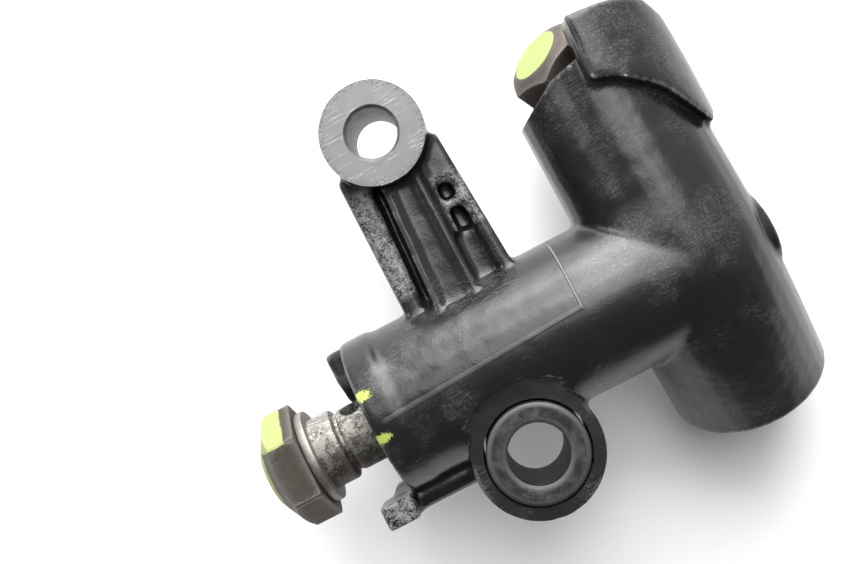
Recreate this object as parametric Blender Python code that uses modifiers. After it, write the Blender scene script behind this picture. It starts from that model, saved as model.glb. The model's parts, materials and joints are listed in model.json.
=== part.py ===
"""Motorcycle brake master cylinder: a cast aluminium body with two mounting eyes, two banjo bolts,
the piston set with its pushrod and boot, and a small valve in the side tube.

While it is modelled, the side tube's gallery lies along X at the origin and both mounting eyes point
along Z. At the end the whole assembly is stood on z = 0 with its box centred on the origin.
Lengths are written in millimetres and turned into metres by MM.
"""

import math

import bmesh
import bpy
from mathutils import Matrix, Vector

MM = 0.001

# Clearances
TOUCH = 0.3 * MM          # between pieces that touch or are pressed together
SEAL_GAP = 0.15 * MM      # between a seal and the wall it wipes

# Side tube, along X
TUBE_RADIUS = 10.5 * MM
TUBE_FACE_X = -16.2 * MM
TUBE_RISE = 0.9 * MM      # the tube's skin stands off the gallery's axis towards the upper eye
GALLERY_RADIUS = 1.6 * MM

# Right-hand body: an elbow from the rear port down to the cylinder's mouth
BODY_X = 28.3 * MM
BODY_RADIUS = 11.0 * MM
BODY_TOP_Y = 33.0 * MM
BODY_AXIS_Z = -0.4 * MM
MOUTH_TILT = math.radians(32)
MOUTH_YAW = math.radians(4)
BORE_START = Vector((28.8, 5.0, 2.2)) * MM    # centre of the cylinder's blind end
BORE_RADIUS = 6.35 * MM
BORE_DEPTH = 28.0 * MM    # blind end to mouth
COLLAR_STEP = 1.6 * MM    # how far the guard collar stands proud
COLLAR_TOP_Y = 34.1 * MM
COLLAR_LEFT_X = 26.7 * MM
MOUTH_TRIM = 0.9 * MM     # machined off the rounded rim of the mouth

# Mounting eyes, along Z
EYE_TOP = 8.4 * MM
EYE_THICKNESS = 13.4 * MM
UPPER_EYE_Y = 33.5 * MM
UPPER_EYE_RADIUS = 6.8 * MM
UPPER_HOLE_RADIUS = 3.2 * MM
LOWER_EYE_Y = -11.7 * MM
LOWER_EYE_RADIUS = 8.5 * MM
SLEEVE_RADIUS = 6.6 * MM
SLEEVE_HOLE_RADIUS = 3.9 * MM
SLEEVE_PROUD = 0.5 * MM
ARM_LEFT = 7.2 * MM
ARM_RIGHT = 7.2 * MM      # at the eye
ARM_SPLAY = 1.4 * MM      # how much further right the arm's foot reaches
ARM_TOP = 4.6 * MM
WEB_DEPTH = 3.2 * MM
FLANGE = 2.0 * MM
RIB_WIDTH = 4.8 * MM

# Banjo bolts, M10
HEX_FLATS = 14.0 * MM
HEX_HEIGHT = 6.2 * MM
HEX_END_RADIUS = 3.75 * MM
SHOULDER_RADIUS = 4.9 * MM
SHOULDER_LENGTH = 4.6 * MM
WAIST_RADIUS = 4.3 * MM
WAIST_LENGTH = 7.0 * MM
THREAD_RADIUS = 5.0 * MM
THREAD_LENGTH = 7.4 * MM
BOLT_DRILL_RADIUS = 1.6 * MM
CROSS_DRILL_ANGLE = math.radians(22)   # the cross drilling's turn from Y towards Z
CROSS_DRILL_DROP = 2.9 * MM   # from the shoulder's end to the cross drilling
WASHER_THICKNESS = 1.0 * MM
WASHER_RIM = 1.5 * MM         # how far a sealing washer reaches past the shank
BOLT_STAND_OFF = 10.6 * MM    # front bolt, partly unscrewed: under its head to the tube's face

# Rear port bolt, M8, in a pocket behind the collar
PORT_HEX_FLATS = 10.0 * MM
PORT_HEX_HEIGHT = 5.0 * MM
PORT_THREAD_RADIUS = 4.0 * MM
PORT_BOLT_LENGTH = 9.5 * MM
REAR_PORT_AZIMUTH = math.radians(121)
REAR_PORT_RISE = math.radians(26)
REAR_SEAT = Vector((26.3, 28.4, -1.1)) * MM   # centre of the rear port's seat
POCKET_RADIUS = 6.7 * MM
RIM_Y = 29.6 * MM                             # the body's rim beside the pocket, at the collar
RIM_BEND = Vector((-3.9, -0.8, 0)) * MM       # from there, in plan, to where the rim bends back
RIM_ANGLE = math.radians(30)                  # the rim's slope past the bend

# Piston set
PISTON_LENGTH = 9.2 * MM
SPRING_WIRE_RADIUS = 0.4 * MM
SPRING_TURNS = 5
SPRING_ROOM = 2.05 * MM    # bore wall to the middle of the spring's wire
SEAL_GROOVE_DEPTH = 1.15 * MM
SOCKET_WALL = 0.8 * MM     # between the ball's socket and the seal grooves
CLIP_ZONE_RADIUS = BORE_RADIUS + 0.85 * MM
MOUTH_RADIUS = CLIP_ZONE_RADIUS + 1.3 * MM
MOUTH_DEPTH = 4.6 * MM
CLIP_ZONE_DEPTH = 2.8 * MM
CLIP_THICKNESS = 0.9 * MM
STOP_WASHER_THICKNESS = 0.9 * MM
ROD_RADIUS = 2.5 * MM
STOP_WASHER_HOLE = ROD_RADIUS + 0.8 * MM
BALL_DEPTH = 2.6 * MM      # the ball's centre, inside the piston's rear face
ROD_PAST_MOUTH = 3.0 * MM

# Valve in the side tube
VALVE_BORE_RADIUS = 4.1 * MM
VALVE_BORE_LENGTH = 15.0 * MM
VALVE_LENGTH = 6.0 * MM
VALVE_GROOVE_RADIUS = 2.6 * MM
RETAINER_THICKNESS = 1.6 * MM
SEAT_THICKNESS = 1.2 * MM
PLUG_RADIUS = 2.6 * MM
PLUG_LENGTH = 3.2 * MM

# The casting's surface
VOXEL = 0.6 * MM
FILLET_PASSES = 5
CAST_SHARE = 0.05          # share of the voxel skin's faces that is kept


# ---------------------------------------------------------------- helpers

for old in list(bpy.data.objects):
    bpy.data.objects.remove(old, do_unlink=True)

parts = bpy.data.collections.new("brake_master_cylinder")
cutters = bpy.data.collections.new("cutters")
for group in (parts, cutters):
    bpy.context.scene.collection.children.link(group)

base = bpy.data.objects.new("base", None)
parts.objects.link(base)


def material(name, colour, roughness, metallic=0.0):
    made = bpy.data.materials.new(name)
    made.use_nodes = True
    shader = made.node_tree.nodes["Principled BSDF"]
    shader.inputs["Base Color"].default_value = (*colour, 1)
    shader.inputs["Roughness"].default_value = roughness
    shader.inputs["Metallic"].default_value = metallic
    return made


def smooth(mesh, degrees=35):
    mesh.shade_smooth()
    mesh.set_sharp_from_angle(angle=math.radians(degrees))


def place(obj, origin, axis):
    """Puts the object's own Z along axis, at origin."""
    turn = Vector(axis).to_track_quat("Z", "Y")
    obj.matrix_world = Matrix.Translation(origin) @ turn.to_matrix().to_4x4()


def new_object(name, mesh, look=None):
    """A part when it has a look, and a hidden cutter when it has none."""
    obj = bpy.data.objects.new(name, mesh)
    if look is None:
        cutters.objects.link(obj)
        obj.hide_render = True
        obj.display_type = "WIRE"
    else:
        parts.objects.link(obj)
        mesh.materials.append(look)
        obj.parent = base
    return obj


def turned(name, profile, look=None, steps=36, origin=(0, 0, 0), axis=(0, 0, 1)):
    """A turned piece. The profile is (radius, height), down the outer side; it closes on itself
    unless it starts and ends on the axis."""
    mesh = bpy.data.meshes.new(name)
    solid = profile[0][0] == 0 and profile[-1][0] == 0
    count = len(profile)
    edges = [(i, i + 1) for i in range(count - 1)] + ([] if solid else [(count - 1, 0)])
    mesh.from_pydata([(r, 0, h) for r, h in profile], edges, [])
    obj = new_object(name, mesh, look)
    screw = obj.modifiers.new("Turn", "SCREW")
    screw.steps = screw.render_steps = steps
    screw.use_merge_vertices = True
    screw.merge_threshold = 0.00001
    screw.use_smooth_shade = True
    place(obj, origin, axis)
    return obj


def rod(radius, start, end, steps=28):
    """A plain cylindrical cutter between two points."""
    start, end = Vector(start), Vector(end)
    length = (end - start).length
    profile = [(0, length), (radius, length), (radius, 0), (0, 0)]
    return turned("cut", profile, None, steps, start, end - start)


def outline(name, points, low, high, look=None):
    """A flat outline in X and Y, extruded from low to high in Z."""
    shape = bmesh.new()
    face = shape.faces.new([shape.verts.new((x, y, low)) for x, y in points])
    raised = bmesh.ops.extrude_face_region(shape, geom=[face])["geom"]
    lifted = [item for item in raised if isinstance(item, bmesh.types.BMVert)]
    bmesh.ops.translate(shape, vec=(0, 0, high - low), verts=lifted)
    bmesh.ops.recalc_face_normals(shape, faces=shape.faces)
    mesh = bpy.data.meshes.new(name)
    shape.to_mesh(mesh)
    shape.free()
    return new_object(name, mesh, look)


def boolean(obj, other, operation="DIFFERENCE"):
    modifier = obj.modifiers.new(other.name, "BOOLEAN")
    modifier.object = other
    modifier.operation = operation


def evaluated_mesh(obj):
    """The object's shape with its modifiers, in world coordinates. The object itself is removed."""
    bpy.context.view_layer.update()
    graph = bpy.context.evaluated_depsgraph_get()
    mesh = bpy.data.meshes.new_from_object(obj.evaluated_get(graph))
    mesh.transform(obj.matrix_world)
    bpy.data.objects.remove(obj)
    return mesh


def coil(name, look, origin, axis, length, radius, wire, turns):
    """A compression spring from origin along axis, with closed ends."""
    spin = turns * 14
    closed = 0.75
    points = []
    for i in range(spin + 1):
        turn = i / 14
        inner = min(max((turn - closed) / (turns - 2 * closed), 0), 1)
        rise = wire + 2 * wire * min(turn, closed) / closed * 0.5
        rise += (length - 4 * wire) * inner
        rise += 2 * wire * max(turn - (turns - closed), 0) / closed * 0.5
        angle = 2 * math.pi * turn
        points.append((radius * math.cos(angle), radius * math.sin(angle), rise))
    curve = bpy.data.curves.new(name, "CURVE")
    curve.dimensions = "3D"
    curve.bevel_depth = wire
    curve.bevel_resolution = 2
    curve.use_fill_caps = True
    line = curve.splines.new("POLY")
    line.points.add(len(points) - 1)
    for point, place_of in zip(line.points, points):
        point.co = (*place_of, 1)
    obj = bpy.data.objects.new(name, curve)
    parts.objects.link(obj)
    curve.materials.append(look)
    obj.parent = base
    place(obj, origin, axis)
    return obj


def direction(azimuth, rise):
    flat = math.cos(rise)
    return Vector((flat * math.cos(azimuth), flat * math.sin(azimuth), math.sin(rise)))


CAST = material("black_paint", (0.012, 0.012, 0.013), 0.28)
STEEL = material("bolt_steel", (0.20, 0.17, 0.14), 0.42, 0.9)
SLEEVE = material("sleeve_steel", (0.17, 0.15, 0.135), 0.45, 0.85)
COPPER = material("crush_washer", (0.42, 0.40, 0.36), 0.4, 0.9)
PLATED = material("plated_steel", (0.55, 0.50, 0.38), 0.32, 0.9)
BRIGHT = material("bright_steel", (0.56, 0.57, 0.58), 0.3, 1.0)
ANODISED = material("anodised_aluminium", (0.48, 0.42, 0.32), 0.38, 0.8)
RUBBER = material("rubber", (0.018, 0.018, 0.019), 0.7)

outward = direction(-math.pi / 2 + MOUTH_YAW, -MOUTH_TILT)     # out of the cylinder's mouth
mouth = BORE_START + BORE_DEPTH * outward
rear = direction(REAR_PORT_AZIMUTH, REAR_PORT_RISE)            # out of the rear port
X, Z = Vector((1, 0, 0)), Vector((0, 0, 1))
PLUG_FACE_X = BODY_X + BODY_RADIUS + 0.4 * MM


# ---------------------------------------------------------------- casting

def add_cylinder(shape, start, end, r0, r1=None, steps=40):
    start, end = Vector(start), Vector(end)
    turn = (end - start).to_track_quat("Z", "Y").to_matrix().to_4x4()
    middle = Matrix.Translation((start + end) / 2) @ turn
    bmesh.ops.create_cone(shape, cap_ends=True, segments=steps, radius1=r0,
                          radius2=r0 if r1 is None else r1, depth=(end - start).length, matrix=middle)


def add_box(shape, low, high):
    low, high = Vector(low), Vector(high)
    size = Matrix.Diagonal((*(high - low), 1))
    bmesh.ops.create_cube(shape, size=1, matrix=Matrix.Translation((low + high) / 2) @ size)


def add_plan(shape, points, low, high):
    """A block with a plan outline."""
    block = outline("plan", points, low, high)
    shape.from_mesh(block.data)
    bpy.data.objects.remove(block)


def elbow():
    """The right-hand body's skin, swept along its bent centre line."""
    curve = bpy.data.curves.new("elbow", "CURVE")
    curve.dimensions = "3D"
    curve.bevel_depth = BODY_RADIUS
    curve.bevel_resolution = 8
    curve.use_fill_caps = True
    curve.resolution_u = 10
    line = curve.splines.new("BEZIER")
    line.bezier_points.add(2)
    top = Vector((BODY_X - 0.4 * MM, BODY_TOP_Y, BODY_AXIS_Z - 1.0 * MM))
    bend = Vector((BODY_X + 0.3 * MM, 3.0 * MM, BODY_AXIS_Z))
    path = [(top, bend - top, 0.96), (bend, Vector((0, -1, 0)), 1.0), (mouth, outward, 1.0)]
    for point, (centre, heading, size) in zip(line.bezier_points, path):
        point.co = centre
        point.handle_left = centre - heading.normalized() * 7 * MM
        point.handle_right = centre + heading.normalized() * 7 * MM
        point.radius = size
    return evaluated_mesh(new_object("elbow_curve", curve))


def collar():
    """The guard collar: a plan outline, rounded by a barrel along the body."""
    left = COLLAR_LEFT_X
    right = BODY_X + BODY_RADIUS + COLLAR_STEP
    top = COLLAR_TOP_Y
    points = [
        (left, top - 7.9 * MM), (left + 3 * MM, top - 9.0 * MM), (BODY_X + 6 * MM, top - 12.6 * MM),
        (right - 2.2 * MM, top - 19.2 * MM), (right, top - 17.4 * MM), (right - 1.5 * MM, top - 4 * MM),
        (right - 3.4 * MM, top - 1.2 * MM), (right - 7.4 * MM, top), (left + 0.6 * MM, top + 0.5 * MM),
    ]
    block = outline("collar", points, -13 * MM, 13 * MM)
    centre = Vector((BODY_X - 0.4 * MM, 0, BODY_AXIS_Z))
    barrel = rod(BODY_RADIUS + COLLAR_STEP, centre, centre + Vector((0, top + 5 * MM, 0)), 64)
    boolean(block, barrel, "INTERSECT")
    mesh = evaluated_mesh(block)
    bpy.data.objects.remove(barrel)
    return mesh


def in_order(mesh):
    """The same mesh with its points and faces sorted. A Boolean lists them in another order each run,
    and the voxel skin and Decimate would carry that into their shapes."""
    places = sorted(range(len(mesh.vertices)), key=lambda i: tuple(mesh.vertices[i].co))
    rank = {old: new for new, old in enumerate(places)}
    faces = []
    for face in mesh.polygons:
        corners = [rank[i] for i in face.vertices]
        first = corners.index(min(corners))
        faces.append(corners[first:] + corners[:first])
    ordered = bpy.data.meshes.new(mesh.name)
    ordered.from_pydata([mesh.vertices[i].co for i in places], [], sorted(faces))
    return ordered


def raw_casting():
    """All the casting's lumps, overlapping; the voxel skin fuses them."""
    shape = bmesh.new()
    for mesh in (elbow(), collar()):
        shape.from_mesh(mesh)
        bmesh.ops.remove_doubles(shape, verts=shape.verts, dist=0.000001)
    tube_start = Vector((TUBE_FACE_X - 0.8 * MM, TUBE_RISE, 0))
    tube_end = Vector((BODY_X, TUBE_RISE, 0))
    add_cylinder(shape, tube_start, tube_end, TUBE_RADIUS, steps=56)
    bmesh.ops.create_uvsphere(shape, u_segments=40, v_segments=24, radius=TUBE_RADIUS,
                              matrix=Matrix.Translation(tube_end))
    # the plugged end of the gallery, and the angled boss round the rear port
    add_cylinder(shape, (BODY_X, 0, 0), (PLUG_FACE_X, 0, 0), PLUG_RADIUS + 2.0 * MM)
    add_cylinder(shape, REAR_SEAT - (PORT_BOLT_LENGTH + 2 * MM) * rear, REAR_SEAT + 3 * MM * rear,
                 PORT_THREAD_RADIUS + 2.2 * MM, POCKET_RADIUS + 1.4 * MM)
    # upper eye on its ribbed arm
    low = EYE_TOP - EYE_THICKNESS
    add_cylinder(shape, (0, UPPER_EYE_Y, low), (0, UPPER_EYE_Y, EYE_TOP + 0.6 * MM), UPPER_EYE_RADIUS)
    foot = TUBE_RADIUS - 4 * MM
    web = ARM_TOP - WEB_DEPTH
    arm_low, eye_side = low + 0.8 * MM, UPPER_EYE_Y - 3 * MM
    foot_right = ARM_RIGHT + ARM_SPLAY
    add_plan(shape, [(-ARM_LEFT, foot), (foot_right, foot), (ARM_RIGHT, eye_side), (-ARM_LEFT, eye_side)],
             arm_low, web)
    add_plan(shape, [(-ARM_LEFT, foot), (FLANGE - ARM_LEFT, foot), (FLANGE - ARM_LEFT, eye_side),
                     (-ARM_LEFT, eye_side)], arm_low, ARM_TOP)
    add_plan(shape, [(foot_right - FLANGE, foot), (foot_right, foot), (ARM_RIGHT, eye_side),
                     (ARM_RIGHT - FLANGE, eye_side)], arm_low, ARM_TOP)
    rib_left = -RIB_WIDTH / 2 - 0.2 * MM
    add_box(shape, (rib_left, foot, web - 1 * MM), (rib_left + RIB_WIDTH, UPPER_EYE_Y, ARM_TOP + 1.2 * MM))
    # cross bars that leave two small pockets beside the right flange
    for bar in (UPPER_EYE_Y - 8.6 * MM, UPPER_EYE_Y - 13 * MM):
        add_box(shape, (rib_left + RIB_WIDTH - 1 * MM, bar - 0.7 * MM, web - 1 * MM),
                (ARM_RIGHT - 1 * MM, bar + 0.7 * MM, ARM_TOP - 0.4 * MM))
    # lower eye beside the tube
    add_cylinder(shape, (0, LOWER_EYE_Y, low + 0.3 * MM), (0, LOWER_EYE_Y, EYE_TOP + 0.4 * MM),
                 LOWER_EYE_RADIUS)
    add_box(shape, (-LOWER_EYE_RADIUS + 1 * MM, LOWER_EYE_Y + 1 * MM, low + 1 * MM),
            (LOWER_EYE_RADIUS - 1 * MM, -2 * MM, EYE_TOP - 4.5 * MM))
    # two stop prongs past the tube's face, and the rib from the lower one to the eye
    face = TUBE_FACE_X
    add_box(shape, (face - 4.2 * MM, 3.8 * MM, -10.6 * MM), (face + 3 * MM, 11.4 * MM, -5.0 * MM))
    add_box(shape, (face - 5.8 * MM, -13.0 * MM, -3.5 * MM), (face - 1.2 * MM, -9.6 * MM, 2.6 * MM))
    add_box(shape, (face - 3.5 * MM, -11.6 * MM, -6.5 * MM), (face + 9.5 * MM, -8.6 * MM, -0.5 * MM))
    add_cylinder(shape, (face - 1.5 * MM, -11.1 * MM, -1.2 * MM), (face + 10 * MM, -11.1 * MM, -1.2 * MM),
                 1.7 * MM)
    mesh = bpy.data.meshes.new("body_casting")
    shape.to_mesh(mesh)
    shape.free()
    return in_order(mesh)


casting = new_object("body_casting", raw_casting(), CAST)
skin = casting.modifiers.new("Skin", "REMESH")
skin.mode = "VOXEL"
skin.voxel_size = VOXEL
rounding = casting.modifiers.new("Fillets", "SMOOTH")
rounding.factor = 0.5
rounding.iterations = FILLET_PASSES
thin = casting.modifiers.new("Thin", "DECIMATE")
thin.ratio = CAST_SHARE

# machined faces: both eyes, the tube's end and the mouth
spot = UPPER_EYE_RADIUS + 1.2 * MM
boolean(casting, rod(spot, (0, UPPER_EYE_Y, EYE_TOP), (0, UPPER_EYE_Y, EYE_TOP + 4 * MM)))
spot = LOWER_EYE_RADIUS + 1.2 * MM
boolean(casting, rod(spot, (0, LOWER_EYE_Y, EYE_TOP), (0, LOWER_EYE_Y, EYE_TOP + 4 * MM)))
face_cut = TUBE_RADIUS - 1.1 * MM
boolean(casting, rod(face_cut, (TUBE_FACE_X, 0, 0), (TUBE_FACE_X - 9 * MM, 0, 0), 40))
rim = mouth
mouth = rim - MOUTH_TRIM * outward
boolean(casting, rod(BODY_RADIUS + 3 * MM, mouth, rim + 6 * MM * outward, 40))

# eye holes, through
for hole_y, hole_radius in ((UPPER_EYE_Y, UPPER_HOLE_RADIUS), (LOWER_EYE_Y, SLEEVE_RADIUS + TOUCH)):
    reach = EYE_TOP + 9 * MM
    boolean(casting, rod(hole_radius, (0, hole_y, -reach), (0, hole_y, reach), 40))

# the plan corner cut away beside the collar, then the round pocket over the rear seat
reach = 12 * MM
bend = Vector((COLLAR_LEFT_X, RIM_Y, 0)) + RIM_BEND
corner_top = COLLAR_TOP_Y + 4 * MM
corner = [
    (bend.x - reach, bend.y - reach * math.tan(RIM_ANGLE)), (bend.x, bend.y), (COLLAR_LEFT_X, RIM_Y),
    (COLLAR_LEFT_X + 0.8 * MM, corner_top), (bend.x - reach, corner_top),
]
boolean(casting, outline("corner_cut", corner, -20 * MM, 20 * MM))
boolean(casting, rod(POCKET_RADIUS, REAR_SEAT, REAR_SEAT + 22 * MM * rear, 40))

# ports for the bolts' threads, with the flow drillings behind them
bolt_length = SHOULDER_LENGTH + WAIST_LENGTH + THREAD_LENGTH
port_radius = THREAD_RADIUS + TOUCH
front_port_depth = bolt_length - WASHER_THICKNESS + 1 * MM
valve_start_x = TUBE_FACE_X + front_port_depth
boolean(casting, rod(port_radius, (TUBE_FACE_X - 2 * MM, 0, 0), (valve_start_x, 0, 0), 32))
rear_end = REAR_SEAT - PORT_BOLT_LENGTH * rear
boolean(casting, rod(PORT_THREAD_RADIUS + TOUCH, REAR_SEAT + 1 * MM * rear, rear_end, 32))
boolean(casting, rod(1.3 * MM, rear_end + 1.5 * MM * rear, BORE_START + 3 * MM * outward, 12))

# valve bore and gallery in the tube, and the plug's seat at the gallery's far end
valve_end_x = valve_start_x + VALVE_BORE_LENGTH
boolean(casting, rod(VALVE_BORE_RADIUS, (valve_start_x - 1 * MM, 0, 0), (valve_end_x, 0, 0), 32))
plug_seat_x = PLUG_FACE_X - PLUG_LENGTH
boolean(casting, rod(GALLERY_RADIUS, (valve_end_x - 1 * MM, 0, 0), (plug_seat_x + 1 * MM, 0, 0), 16))
boolean(casting, rod(PLUG_RADIUS + TOUCH, (plug_seat_x, 0, 0), (plug_seat_x + 9 * MM, 0, 0), 24))

# cylinder bore, open at the mouth: boot seat, clip zone with its groove, then the bore
depth = BORE_DEPTH - MOUTH_TRIM
clip_at = MOUTH_DEPTH + 0.5 * MM
groove = CLIP_ZONE_RADIUS + 0.9 * MM
zone_end = MOUTH_DEPTH + CLIP_ZONE_DEPTH
bore_profile = [
    (0, 3 * MM), (MOUTH_RADIUS, 3 * MM), (MOUTH_RADIUS, -MOUTH_DEPTH), (CLIP_ZONE_RADIUS, -MOUTH_DEPTH),
    (CLIP_ZONE_RADIUS, -clip_at), (groove, -clip_at), (groove, -clip_at - CLIP_THICKNESS - TOUCH),
    (CLIP_ZONE_RADIUS, -clip_at - CLIP_THICKNESS - TOUCH), (CLIP_ZONE_RADIUS, -zone_end),
    (BORE_RADIUS, -zone_end), (BORE_RADIUS, -depth), (0, -depth - 1.2 * MM),
]
boolean(casting, turned("bore_cut", bore_profile, None, 40, mouth, outward))


# ---------------------------------------------------------------- steel sleeve and plug

sleeve_low = EYE_TOP - EYE_THICKNESS - SLEEVE_PROUD
sleeve_high = EYE_TOP + SLEEVE_PROUD
edge = 0.5 * MM
turned("lower_mount_sleeve", [
    (SLEEVE_RADIUS - edge, sleeve_high), (SLEEVE_RADIUS, sleeve_high - edge),
    (SLEEVE_RADIUS, sleeve_low + edge), (SLEEVE_RADIUS - edge, sleeve_low),
    (SLEEVE_HOLE_RADIUS + edge, sleeve_low),
    (SLEEVE_HOLE_RADIUS, sleeve_low + edge), (SLEEVE_HOLE_RADIUS, sleeve_high - edge),
    (SLEEVE_HOLE_RADIUS + edge, sleeve_high),
], SLEEVE, 40, (0, LOWER_EYE_Y, 0), Z)

turned("gallery_plug", [
    (0, PLUG_LENGTH), (PLUG_RADIUS - 0.5 * MM, PLUG_LENGTH), (PLUG_RADIUS, PLUG_LENGTH - 0.5 * MM),
    (PLUG_RADIUS, 0.4 * MM), (PLUG_RADIUS - 0.4 * MM, 0), (0, 0),
], STEEL, 24, (plug_seat_x + TOUCH, 0, 0), X)


# ---------------------------------------------------------------- banjo bolts

def hex_bolt(name, origin, axis, roll, flats, height, shank_profile):
    """A bolt whose head's underside is at origin and whose head points along axis."""
    head = bpy.data.meshes.new(name)
    shape = bmesh.new()
    corner_radius = flats / math.sqrt(3)
    lift = Matrix.Translation((0, 0, height / 2)) @ Matrix.Rotation(roll, 4, "Z")
    bmesh.ops.create_cone(shape, cap_ends=True, segments=6, radius1=corner_radius,
                          radius2=corner_radius, depth=height, matrix=lift)
    shape.to_mesh(head)
    shape.free()
    bolt = new_object(name, head, STEEL)
    place(bolt, origin, axis)
    outer = corner_radius + 0.6 * MM
    drop = (outer - HEX_END_RADIUS) * math.tan(math.radians(30))
    cone = turned("head_cone", [
        (0, height), (HEX_END_RADIUS, height), (outer, height - drop), (outer, -1 * MM), (0, -1 * MM),
    ], None, 32, origin, axis)
    boolean(bolt, cone, "INTERSECT")
    boolean(bolt, turned("shank", shank_profile, None, 28, origin, axis), "UNION")
    return bolt


def sealing_washer(name, origin, axis, shank):
    """A flat washer that lies from origin towards minus axis, round a shank of that radius."""
    hole, outer = shank + TOUCH, shank + WASHER_RIM
    turned(name, [
        (outer - 0.2 * MM, 0), (outer, -0.2 * MM), (outer, 0.2 * MM - WASHER_THICKNESS),
        (outer - 0.2 * MM, -WASHER_THICKNESS), (hole, -WASHER_THICKNESS), (hole, 0),
    ], COPPER, 32, origin, axis)


front_head = Vector((TUBE_FACE_X - BOLT_STAND_OFF, 0, 0))
neck, waist_end = -SHOULDER_LENGTH, -SHOULDER_LENGTH - WAIST_LENGTH
tip = waist_end - THREAD_LENGTH
front_bolt = hex_bolt("banjo_bolt", front_head, -X, math.radians(30), HEX_FLATS, HEX_HEIGHT, [
    (0, 1 * MM), (SHOULDER_RADIUS, 1 * MM), (SHOULDER_RADIUS, neck + 0.4 * MM),
    (SHOULDER_RADIUS - 0.4 * MM, neck), (WAIST_RADIUS - 0.3 * MM, neck - 0.3 * MM),
    (WAIST_RADIUS, neck - 0.8 * MM), (WAIST_RADIUS, waist_end + 0.8 * MM),
    (THREAD_RADIUS, waist_end), (THREAD_RADIUS, tip + 0.8 * MM), (THREAD_RADIUS - 0.8 * MM, tip), (0, tip),
])
cross_x = front_head.x - neck + CROSS_DRILL_DROP
cross = Vector((0, math.cos(CROSS_DRILL_ANGLE), math.sin(CROSS_DRILL_ANGLE))) * 7 * MM
boolean(front_bolt, rod(BOLT_DRILL_RADIUS, (front_head.x - tip + 1 * MM, 0, 0), (cross_x, 0, 0), 16))
boolean(front_bolt, rod(BOLT_DRILL_RADIUS, cross_x * X - cross, cross_x * X + cross, 16))
sealing_washer("banjo_washer", front_head + TOUCH * X, -X, SHOULDER_RADIUS)

port_head = REAR_SEAT + (WASHER_THICKNESS + 2 * TOUCH) * rear
port_tip = -PORT_BOLT_LENGTH
hex_bolt("port_bolt", port_head, rear, math.radians(30), PORT_HEX_FLATS, PORT_HEX_HEIGHT, [
    (0, 1 * MM), (PORT_THREAD_RADIUS - 0.3 * MM, 1 * MM), (PORT_THREAD_RADIUS - 0.3 * MM, -2.2 * MM),
    (PORT_THREAD_RADIUS, -2.6 * MM), (PORT_THREAD_RADIUS, port_tip + 0.7 * MM),
    (PORT_THREAD_RADIUS - 0.7 * MM, port_tip), (0, port_tip),
])
sealing_washer("port_washer", port_head - TOUCH * rear, rear, PORT_THREAD_RADIUS)


# ---------------------------------------------------------------- piston set
# heights are depths from the mouth inwards

inward = -outward


def bored(name, profile, look, steps=32):
    """A turned piece on the cylinder's axis; heights are depths from the mouth, given inner end first."""
    return turned(name, profile, look, steps, mouth, inward)


clip_low = clip_at + TOUCH / 2
stop_low = clip_low + CLIP_THICKNESS + TOUCH
stop_high = stop_low + STOP_WASHER_THICKNESS
piston_low = max(zone_end, stop_high) + TOUCH
piston_high = piston_low + PISTON_LENGTH
land = BORE_RADIUS - TOUCH
core = land - SEAL_GROOVE_DEPTH
ball_radius = core - SOCKET_WALL - TOUCH
spring_radius = BORE_RADIUS - SPRING_ROOM
hub = spring_radius - 1.0 * MM    # the seat's hub, inside the spring
nose = hub - 1.1 * MM
nose_length = 2.0 * MM
cup_width = 2.2 * MM
second_low = piston_low + 1.6 * MM
first_low = piston_high - 1.2 * MM - cup_width - 0.6 * MM
socket = ball_radius + TOUCH

piston = bored("piston", [
    (0, piston_high + nose_length), (nose, piston_high + nose_length), (nose, piston_high),
    (land, piston_high),
    (land, first_low + cup_width + 0.6 * MM), (core, first_low + cup_width + 0.6 * MM), (core, first_low),
    (land, first_low), (land, second_low + cup_width), (core, second_low + cup_width), (core, second_low),
    (land, second_low), (land, piston_low + 0.3 * MM), (land - 0.3 * MM, piston_low), (0, piston_low),
], ANODISED, 32)
ball_at = mouth + (piston_low + BALL_DEPTH) * inward
ball_cut = turned("socket_cut", [
    (socket * math.sin(math.pi * i / 12), socket * math.cos(math.pi * i / 12)) for i in range(12)
] + [(0, -socket)], None, 28, ball_at, inward)
boolean(piston, ball_cut)
boolean(piston, rod(STOP_WASHER_HOLE + 0.4 * MM, mouth + (piston_low - 3 * MM) * inward, ball_at, 28))


def cup(name, low, high):
    """A lip seal in its groove: its lip opens towards the pressure side."""
    low, high = low + SEAL_GAP, high - SEAL_GAP
    outer, inner = BORE_RADIUS - SEAL_GAP, core + SEAL_GAP
    middle = (outer + inner) / 2
    bored(name, [
        (outer, high), (outer - 0.2 * MM, low), (inner, low), (inner, high - 0.2 * MM),
        (inner + 0.2 * MM, high - 0.2 * MM), (middle, high - 0.9 * MM),
    ], RUBBER)


cup("secondary_cup", second_low, second_low + cup_width)
cup("primary_cup", first_low, first_low + cup_width)
shim_low = first_low + cup_width + SEAL_GAP
bored("cup_shim", [
    (land - 0.05 * MM, shim_low + 0.3 * MM), (land - 0.05 * MM, shim_low), (core + SEAL_GAP, shim_low),
    (core + SEAL_GAP, shim_low + 0.3 * MM),
], BRIGHT)

seat_low = piston_high + TOUCH
seat_plate = 0.7 * MM
seat_rim = spring_radius + SPRING_WIRE_RADIUS + 0.5 * MM
bored("spring_seat", [
    (hub, seat_low + nose_length), (hub, seat_low + seat_plate),
    (seat_rim, seat_low + seat_plate), (seat_rim, seat_low), (nose + TOUCH, seat_low),
    (nose + TOUCH, seat_low + nose_length),
], PLATED)

spring_low = seat_low + seat_plate + SPRING_WIRE_RADIUS * 0.2 + TOUCH / 2
spring_length = depth - TOUCH - spring_low
coil("return_spring", BRIGHT, mouth + spring_low * inward, inward, spring_length, spring_radius,
     SPRING_WIRE_RADIUS, SPRING_TURNS)

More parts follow.
